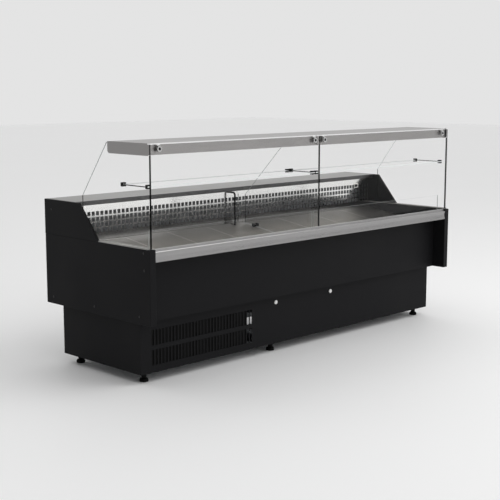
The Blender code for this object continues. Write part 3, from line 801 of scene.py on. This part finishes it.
def makeAirWall():
    # Polished sheet with rows of punched air slots between a plain strip above and below, and
    # with an ear on each end that reaches the side piece
    start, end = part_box("air_wall")
    depth = start.y + wall["inset"]
    height = wall["slotsHigh"] - wall["slotsLow"]
    bpy.ops.mesh.primitive_grid_add(
        x_subdivisions=wall["columns"],
        y_subdivisions=wall["rows"],
        size=1,
        location=(0, depth, (wall["slotsHigh"] + wall["slotsLow"]) / 2),
        rotation=(math.radians(90), 0, 0),
    )
    bpy.context.object.scale = (2 * wall["half"], height, 1)
    bpy.ops.object.transform_apply(location=True, rotation=True, scale=True)
    mesh = openMesh()
    choose(mesh, "FACE", lambda face: True)
    bpy.ops.mesh.inset(thickness=wall["rim"], depth=0, use_individual=True)
    bpy.ops.mesh.delete(type="FACE")
    strips = (
        (wall["slotsHigh"], end.z - wall["inset"]),
        (wall["slotsLow"], start.z + wall["inset"]),
    )
    for level, reach in strips:
        mesh = bmesh.from_edit_mesh(bpy.context.object.data)
        choose(mesh, "EDGE", lambda edge: all(abs(v.co.z - level) < slack for v in edge.verts))
        bpy.ops.mesh.extrude_region_move(TRANSFORM_OT_translate={"value": (0, 0, reach - level)})
    for side in (-1, 1):
        mesh = bmesh.from_edit_mesh(bpy.context.object.data)
        choose(
            mesh,
            "EDGE",
            lambda edge: all(abs(v.co.x - side * wall["half"]) < slack for v in edge.verts)
            and middle(edge).z > wall["earLow"],
        )
        reach = side * (end.x - wall["endGap"] - wall["half"])
        bpy.ops.mesh.extrude_region_move(TRANSFORM_OT_translate={"value": (reach, 0, 0)})
    bpy.ops.mesh.select_all(action="SELECT")
    bpy.ops.mesh.normals_make_consistent(inside=False)
    bpy.ops.object.mode_set(mode="OBJECT")
    sheet = bpy.context.object
    solid = sheet.modifiers.new("sheet", "SOLIDIFY")
    solid.thickness = wall["thick"]
    solid.offset = 0
    bpy.ops.object.modifier_apply(modifier="sheet")
    openMesh()
    bpy.ops.mesh.select_all(action="SELECT")
    bpy.ops.transform.translate(value=(0, wall["thick"] / 2, 0))
    piece = finishMesh("airWallSheet", wallSteel, smooth=False)
    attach(piece, caseBody)
    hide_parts("air_wall")


ledge = {  # the right one
    "inner": 1.2400,
    "outer": 1.2785,
    "outerBehind": 1.2650,
    "front": low("end_glass_left").y - 0.0015,
    "slopeFoot": low("upper_side_panel_left").y - 0.0007,
    "rear": low("air_wall").y - 0.0004,
    "bottom": high("side_panel_left").z + 0.0002,
    "height": 0.0060,
    "groove": (1.2503, 1.2577),
    "grooveFloor": 0.0004,
    "overlap": 0.01,  # of the two blocks that it starts as
    "edge": 0.0008,
}


def makeLedges():
    # Drawn aluminium strip on the side wall, with a groove that holds the end glass
    bottom = ledge["bottom"]
    top = bottom + ledge["height"]
    strip = addBlock(
        (ledge["inner"], ledge["front"], bottom), (ledge["outer"], ledge["slopeFoot"], top)
    )
    tail = addBlock(
        (ledge["inner"], ledge["slopeFoot"] - ledge["overlap"], bottom),
        (ledge["outerBehind"], ledge["rear"], top),
    )
    carve(strip, tail, "UNION")
    groove = addBlock(
        (ledge["groove"][0], -farOff, bottom + ledge["grooveFloor"]),
        (ledge["groove"][1], farOff, top + ledge["overlap"]),
    )
    carve(strip, groove)
    roundEdges(ledge["edge"])
    strip = finishMesh("ledgeRight", ledgeAluminium)
    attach(strip, caseBody)
    copyPiece(strip, "ledgeLeft", scale=(-1, 1, 1))


clip = {
    "reach": 0.024,
    "length": 0.018,
    "padHeight": 0.0075,
    "web": 0.0045,  # the part beside the shelf, which joins the two jaws
    "wallGap": 0.0002,
    "glassGap": 0.0001,
    "frontIn": 0.010,  # middle of the front clips, behind the shelf's front edge
    "rearOut": 0.003,  # middle of the rear clips, behind the shelf's rear edge
    "mouth": (-0.01, 0.04),  # start and end of the cut, from the front of the clip
    "edge": 0.0018,
}


def makeShelfClips():
    # Two rubber-lined jaws joined by a short web, which grip the shelf at each corner
    shelfLow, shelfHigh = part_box("glass_shelf_right")
    outer = low("end_glass_right").x - clip["wallGap"]
    bottom = shelfLow.z - clip["padHeight"]
    top = shelfHigh.z + clip["padHeight"]
    centres = (shelfLow.y + clip["frontIn"], shelfHigh.y + clip["rearOut"])
    first = centres[0] - clip["length"] / 2
    block = addBlock((outer - clip["reach"], first, bottom), (outer, first + clip["length"], top))
    mouth = addBlock(
        (outer - farOff, first + clip["mouth"][0], shelfLow.z - clip["glassGap"]),
        (outer - clip["web"], first + clip["mouth"][1], shelfHigh.z + clip["glassGap"]),
    )
    carve(block, mouth)
    roundEdges(clip["edge"], 3)
    block = finishMesh("shelfClipRightFront", blackRubber)
    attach(block, caseBody)
    back = (0, centres[1] - centres[0], 0)
    copyPiece(block, "shelfClipRightRear", shift=back)
    copyPiece(block, "shelfClipLeftFront", scale=(-1, 1, 1))
    copyPiece(block, "shelfClipLeftRear", scale=(-1, 1, 1), shift=back)
    # The same clips stand on both sides of the middle glass, turned round
    inner = high("middle_glass").x + clip["wallGap"] + outer
    copyPiece(block, "shelfClipMiddleRightFront", scale=(-1, 1, 1), shift=(inner, 0, 0))
    copyPiece(block, "shelfClipMiddleRightRear", scale=(-1, 1, 1), shift=(inner, back[1], 0))
    copyPiece(block, "shelfClipMiddleLeftFront", shift=(-inner, 0, 0))
    copyPiece(block, "shelfClipMiddleLeftRear", shift=(-inner, back[1], 0))


buffer = {
    "inner": 0.0045,
    "outer": 0.0210,
    "centre": low("middle_glass").y + 0.5125,
    "half": 0.012,
    "height": 0.021,
    "slope": 0.15,  # how fast the plate under it rises towards the rear
    "sunk": 0.001,
    "edge": 0.004,
}


def makeGlassBuffers():
    # A rubber lobe on the plate at each side of the middle glass: it steadies the glass and lifts
    # out with its plate
    plateRear = high("deck_plate_5")
    drop = buffer["slope"] * (plateRear.y - buffer["centre"])
    bottom = plateRear.z - drop - buffer["sunk"]
    lobe = addBlock(
        (buffer["inner"], buffer["centre"] - buffer["half"], bottom),
        (buffer["outer"], buffer["centre"] + buffer["half"], bottom + buffer["height"]),
    )
    roundEdges(buffer["edge"], 4)
    lobe = finishMesh("glassBufferRight", blackRubber)
    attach(lobe, "deck_plate_5")
    copyPiece(lobe, "glassBufferLeft", scale=(-1, 1, 1), body="deck_plate_4")


seal = {
    "frontGap": 0.0002,
    "footGap": 0.0002,
    "topGap": 0.003,
    "rearGap": 0.0001,
    "innerLip": 0.0004,  # how far it stands out from the glass on each side
    "outerLip": 0.0030,
    "edge": 0.0006,
}


def makeCornerSeals():
    # Black silicone bead down the front edge of each upright glass, behind the front panes
    front = high("front_glass_left").y + seal["frontGap"]
    bottom = low("front_glass_left").z + seal["footGap"]
    top = low("canopy").z - seal["topGap"]
    glassLow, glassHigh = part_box("end_glass_right")
    bead = addBlock(
        (glassLow.x - seal["innerLip"], front, bottom),
        (glassHigh.x + seal["outerLip"], glassLow.y - seal["rearGap"], top),
    )
    roundEdges(seal["edge"])
    bead = finishMesh("cornerSealRight", darkSilicone)
    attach(bead, caseBody)
    left = copyPiece(bead, "cornerSealLeft", scale=(-1, 1, 1))
    left.data.materials[0] = blackRubber  # painted shade: the left bead is drawn a deeper black than the others, as it stands on the shaded side
    centre = (glassLow.x + glassHigh.x) / 2
    copyPiece(bead, "middleSeal", shift=(-centre, 0, 0))


screw = {
    "radius": 0.0055,
    "height": 0.0026,
    "socket": 0.0026,
    "depth": 0.0015,
    "sunk": 0.0004,
    "dome": 0.0016,  # width of the rounding round its top
    "rim": 0.0004,  # width of the socket's sloping wall
    "sides": 24,
    # distance behind the object's middle, and height, of each screw in a side panel
    "places": (
        (0.385, 0.866),
        (0.385, 0.378),
        (0.0135, 0.377),
        (-0.363, 0.378),
        (-0.408, 0.620),
        (-0.403, 0.708),
    ),
}


def makeScrews():
    # Black button-head screws: a domed head with a socket sunk in it
    panel = high("side_panel_right").x
    first = screw["places"][0]
    bpy.ops.mesh.primitive_cylinder_add(
        vertices=screw["sides"],
        radius=screw["radius"],
        depth=screw["height"],
        location=(panel + screw["height"] / 2 - screw["sunk"], first[0], first[1]),
        rotation=(0, math.radians(90), 0),
    )
    bpy.ops.object.transform_apply(location=True, rotation=True, scale=True)
    top = panel + screw["height"] - screw["sunk"]
    mesh = openMesh()
    choose(mesh, "EDGE", lambda edge: all(v.co.x > top - slack for v in edge.verts))
    bpy.ops.mesh.bevel(offset=screw["dome"], segments=4, affect="EDGES")
    mesh = bmesh.from_edit_mesh(bpy.context.object.data)
    choose(mesh, "FACE", lambda face: face.normal.x > 0.99 and len(face.verts) == screw["sides"])
    bpy.ops.mesh.inset(thickness=screw["radius"] - screw["dome"] - screw["socket"], depth=0)
    bpy.ops.mesh.inset(thickness=screw["rim"], depth=-screw["depth"])
    head = finishMesh("panelScrewRight1", screwSteel)
    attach(head, caseBody)
    copyPiece(head, "panelScrewLeft1", scale=(-1, 1, 1))
    for i, (y, z) in enumerate(screw["places"][1:], start=2):
        shift = (0, y - first[0], z - first[1])
        copyPiece(head, f"panelScrewRight{i}", shift=shift)
        copyPiece(head, f"panelScrewLeft{i}", scale=(-1, 1, 1), shift=shift)


# painted shade: a dark sheet behind the base slots, with the last two columns left open
slotShadeSheet = {
    "left": -1.180,
    "right": -0.4666,  # short of the last two columns of slots, which stay open
    "bottom": 0.085,
    "top": 0.292,
    "folds": 72,
    "foldDepth": 0.0032,
    "thick": 0.0009,
    "behind": 0.0028,  # from the cover's face to the middle of the front folds
}


def makeSlotShadeSheet():
    # Painted shade: a black pleated sheet behind the slots of the base cover, standing in for the shade
    # inside the base
    width = slotShadeSheet["right"] - slotShadeSheet["left"]
    height = slotShadeSheet["top"] - slotShadeSheet["bottom"]
    depth = low("base_front_cover").y + slotShadeSheet["behind"]
    bpy.ops.mesh.primitive_grid_add(
        x_subdivisions=slotShadeSheet["folds"],
        y_subdivisions=1,
        size=1,
        location=(slotShadeSheet["left"] + width / 2, depth, slotShadeSheet["bottom"] + height / 2),
        rotation=(math.radians(90), 0, 0),
    )
    bpy.context.object.scale = (width, height, 1)
    bpy.ops.object.transform_apply(location=True, rotation=True, scale=True)
    mesh = openMesh()
    pitch = width / slotShadeSheet["folds"]
    choose(mesh, "VERT", lambda vert: round((vert.co.x - slotShadeSheet["left"]) / pitch) % 2 == 1)
    bpy.ops.transform.translate(value=(0, slotShadeSheet["foldDepth"], 0))
    bpy.ops.mesh.select_all(action="SELECT")
    bpy.ops.mesh.normals_make_consistent(inside=False)
    bpy.ops.object.mode_set(mode="OBJECT")
    shadeSheet = bpy.context.object
    solid = shadeSheet.modifiers.new("shadeSheet", "SOLIDIFY")
    solid.thickness = slotShadeSheet["thick"]
    solid.offset = 0
    bpy.ops.object.modifier_apply(modifier="shadeSheet")
    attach(finishMesh("slotShadeSheet", blackRubber), "base_front_cover")


thermometer = {
    "x": 1.103,
    "z": 0.849,
    "wide": 0.040,
    "high": 0.027,
    "thick": 0.0045,
    "rim": 0.0042,
    "recess": 0.0012,
    "gap": 0.0001,
    "edge": 0.0006,
    "windowIn": 0.0008,  # between the inside of the frame and the window
    "window": (-0.0006, 0.0004),  # its front and back, from the floor of the recess
    "windowEdge": 0.0003,
}


def makeThermometer():
    # White clip-on thermometer on the air wall: a moulded frame round a dark window
    back = low("air_wall").y - thermometer["gap"]
    front = low("air_wall").y - thermometer["thick"]
    left = thermometer["x"] - thermometer["wide"] / 2
    right = thermometer["x"] + thermometer["wide"] / 2
    bottom = thermometer["z"] - thermometer["high"] / 2
    top = thermometer["z"] + thermometer["high"] / 2
    block = addBlock((left, front, bottom), (right, back, top))
    mesh = openMesh()
    choose(mesh, "FACE", lambda face: face.normal.y < -0.9)
    bpy.ops.mesh.inset(thickness=thermometer["rim"], depth=-thermometer["recess"])
    mesh = bmesh.from_edit_mesh(block.data)
    choose(mesh, "EDGE", lambda edge: all(v.co.y < front + slack for v in edge.verts))
    bpy.ops.mesh.bevel(offset=thermometer["edge"], segments=3, affect="EDGES")
    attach(finishMesh("thermometerFrame", whiteAbs), caseBody)
    inner = thermometer["rim"] + thermometer["windowIn"]
    recess = front + thermometer["recess"]
    windowFront, windowBack = thermometer["window"]
    addBlock(
        (left + inner, recess + windowFront, bottom + inner),
        (right - inner, recess + windowBack, top - inner),
    )
    roundEdges(thermometer["windowEdge"])
    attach(finishMesh("thermometerWindow", blackAbs), caseBody)


cap = {
    "radius": 0.0075,
    "height": 0.0014,
    "sunk": 0.0003,
    "edge": 0.0008,
    "rim": 0.0036,  # flat ring round the recess
    "recess": 0.0008,
    "recessWall": 0.0004,
    "sides": 32,
}


def makeClampCaps():
    # Black plug in the middle of each round clamp, with a shallow round recess
    places = {}
    for side in ("left", "right"):
        for place in ("inner", "outer"):
            start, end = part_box(f"glass_clamp_{side}_{place}")
            places[side, place] = (start.x + end.x) / 2
    clampLow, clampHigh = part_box("glass_clamp_left_inner")
    front = clampLow.y - cap["height"] + cap["sunk"]
    height = clampLow.z + (clampHigh.x - clampLow.x) / 2
    x = places["right", "outer"]
    bpy.ops.mesh.primitive_cylinder_add(
        vertices=cap["sides"],
        radius=cap["radius"],
        depth=cap["height"],
        location=(x, front + cap["height"] / 2, height),
        rotation=(math.radians(90), 0, 0),
    )
    bpy.ops.object.transform_apply(location=True, rotation=True, scale=True)
    mesh = openMesh()
    choose(mesh, "EDGE", lambda edge: all(v.co.y < front + slack for v in edge.verts))
    bpy.ops.mesh.bevel(offset=cap["edge"], segments=3, affect="EDGES")
    mesh = bmesh.from_edit_mesh(bpy.context.object.data)
    choose(mesh, "FACE", lambda face: face.normal.y < -0.99 and len(face.verts) == cap["sides"])
    bpy.ops.mesh.inset(thickness=cap["rim"], depth=0)
    bpy.ops.mesh.inset(thickness=cap["recessWall"], depth=-cap["recess"])
    plug = finishMesh("clampPlugRightOuter", blackAbs)
    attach(plug, "front_glass_right")
    for side, place in (("right", "inner"), ("left", "inner"), ("left", "outer")):
        name = f"clampPlug{side.capitalize()}{place.capitalize()}"
        copyPiece(plug, name, shift=(places[side, place] - x, 0, 0), body=f"front_glass_{side}")


controller = {
    "display": (0.825, 0.895, 0.790, 0.830),  # left, right, bottom and top of its window
    "bezel": 0.0045,
    "bezelHeight": 0.0022,
    "bezelDish": 0.0012,
    "bezelEdge": 0.0006,
    "sunk": 0.0003,
    "digitHeight": 0.018,
    "digitWidth": 0.0095,
    "barWidth": 0.0022,
    "barLow": 0.0006,  # the bars' back and front, in front of the panel
    "barHigh": 0.0014,
    "barEdge": 0.0003,
    "digits": ((0.8745, "abcdefg"), (0.8600, "abcdef"), (0.8455, "bcfg")),
    "keys": ((0.912, 0.822), (0.930, 0.822), (0.912, 0.798), (0.930, 0.798)),
    "key": (0.013, 0.016),
    "keyHeight": 0.0009,
    "keyEdge": 0.0005,
}


def makeBezel(panel):
    # Moulded frame, dished towards the window
    left, right, bottom, top = controller["display"]
    rim = controller["bezel"]
    front = panel + controller["bezelHeight"]
    block = addBlock(
        (left - rim, panel - controller["sunk"], bottom - rim), (right + rim, front, top + rim)
    )
    mesh = openMesh()
    choose(mesh, "FACE", lambda face: face.normal.y > 0.9)
    bpy.ops.mesh.inset(thickness=rim, depth=-controller["bezelDish"])
    mesh = bmesh.from_edit_mesh(block.data)
    choose(mesh, "EDGE", lambda edge: all(v.co.y > front - slack for v in edge.verts))
    bpy.ops.mesh.bevel(offset=controller["bezelEdge"], segments=2, affect="EDGES")
    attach(finishMesh("controllerBezel", blackAbs), caseBody)


def makeFigures(panel):
    # Figures of seven lit bars each
    tall = controller["digitHeight"] / 2
    wide = controller["digitWidth"] / 2
    thin = controller["barWidth"] / 2
    # each bar: its centre across and up, and half its width and height
    bars = {
        "a": (0, tall, wide - thin, thin),
        "b": (wide, tall / 2, thin, tall / 2 - thin),
        "c": (wide, -tall / 2, thin, tall / 2 - thin),
        "d": (0, -tall, wide - thin, thin),
        "e": (-wide, -tall / 2, thin, tall / 2 - thin),
        "f": (-wide, tall / 2, thin, tall / 2 - thin),
        "g": (0, 0, wide - thin, thin),
    }
    back = panel + controller["barLow"]
    front = panel + controller["barHigh"]
    made = []
    for centre, lit in controller["digits"]:
        for bar in lit:
            across, up, halfWide, halfHigh = bars[bar]
            x = centre - across
            z = (controller["display"][2] + controller["display"][3]) / 2 + up
            block = addBlock((x - halfWide, back, z - halfHigh), (x + halfWide, front, z + halfHigh))
            made.append(block)
            roundEdges(controller["barEdge"], 1)
    joinAll(made)
    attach(finishMesh("controllerFigures", litFigures), caseBody)


def makeKeys(panel):
    # Four keys sealed under one foil
    wide, tall = controller["key"]
    x, z = controller["keys"][0]
    addBlock(
        (x - wide / 2, panel - controller["sunk"], z - tall / 2),
        (x + wide / 2, panel + controller["keyHeight"], z + tall / 2),
    )
    roundEdges(controller["keyEdge"], 3)
    key = finishMesh("controllerKey1", keyRubber)
    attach(key, caseBody)
    for i, (keyX, keyZ) in enumerate(controller["keys"][1:], start=2):
        copyPiece(key, f"controllerKey{i}", shift=(keyX - x, 0, keyZ - z))


def makeController():
    panel = high("control_panel").y
    makeBezel(panel)
    makeFigures(panel)
    makeKeys(panel)


makeAirWall()
report("air wall")
makeLedges()
makeShelfClips()
makeGlassBuffers()
makeCornerSeals()
report("glass trim")
makeThermometer()
makeScrews()
makeSlotShadeSheet()
makeClampCaps()
makeController()
report("small pieces")


# Pale floor, an even room and one soft lamp in front on the right
studio = {
    "floor": "#f8f8f8",  # painted board, very slightly uneven
    "floorPale": "#fafafa",
    "floorRoughness": 0.6,
    "floorSize": 60,
    "world": 0.775,
    "ceiling": 1.22,  # how much brighter the room is overhead
    "ceilingFade": (0.25, 0.9),  # upwards, as a part of straight up
    "worldLeft": 0.10,  # the far left of the room is a dark wall
    "leftFade": (-0.9, -0.25),  # from the left, as a part of straight across
    "keyPower": 120,
    "keySize": 5.0,
    "keyPlace": (2.5, -4.0, 5.0),
    "keyAim": (0, 0, 0.6),
}


def makeStudio():
    bpy.ops.mesh.primitive_plane_add(size=studio["floorSize"], location=(0, 0, 0))
    floor = bpy.context.object
    floor.name = "studioFloor"
    material, tree, shader = newMaterial("paleFloor", {"Roughness": studio["floorRoughness"]})
    place = addNode(tree, "ShaderNodeTexCoord").outputs["Object"]
    cloud = addNode(tree, "ShaderNodeTexNoise", {"Scale": 0.6, "Detail": 2.0}, {"Vector": place})
    tint = addNode(
        tree,
        "ShaderNodeMix",
        {6: linear(studio["floor"]), 7: linear(studio["floorPale"])},
        {0: cloud.outputs["Fac"]},
        data_type="RGBA",
    )
    tree.links.new(tint.outputs[2], shader.inputs["Base Color"])
    floor.data.materials.append(material)

    world = bpy.data.worlds.new("studio")
    bpy.context.scene.world = world
    world.use_nodes = True
    tree = world.node_tree
    direction = addNode(tree, "ShaderNodeTexCoord").outputs["Generated"]
    axes = addNode(tree, "ShaderNodeSeparateXYZ", None, {"Vector": direction})
    fade = addNode(
        tree,
        "ShaderNodeMapRange",
        fromTo(studio["leftFade"], (studio["worldLeft"], studio["world"])),
        {"Value": axes.outputs["X"]},
    )
    lift = addNode(
        tree,
        "ShaderNodeMapRange",
        fromTo(studio["ceilingFade"], (1.0, studio["ceiling"])),
        {"Value": axes.outputs["Z"]},
    )
    # The backdrop itself stays one plain grey from every side
    seen = addNode(tree, "ShaderNodeLightPath").outputs["Is Camera Ray"]
    backdrop = addNode(
        tree,
        "ShaderNodeMix",
        {3: studio["world"]},
        {0: seen, 2: fade.outputs["Result"]},
        data_type="FLOAT",
    )
    background = tree.nodes["Background"]
    tree.links.new(backdrop.outputs[0], background.inputs["Color"])
    tree.links.new(lift.outputs["Result"], background.inputs["Strength"])

    bpy.ops.object.light_add(type="AREA", location=studio["keyPlace"])
    key = bpy.context.object
    key.name = "keyLight"
    key.data.size = studio["keySize"]
    key.data.energy = studio["keyPower"]
    aim = Vector(studio["keyAim"]) - Vector(studio["keyPlace"])
    key.rotation_euler = aim.to_track_quat("-Z", "Y").to_euler()


makeStudio()
report("studio")
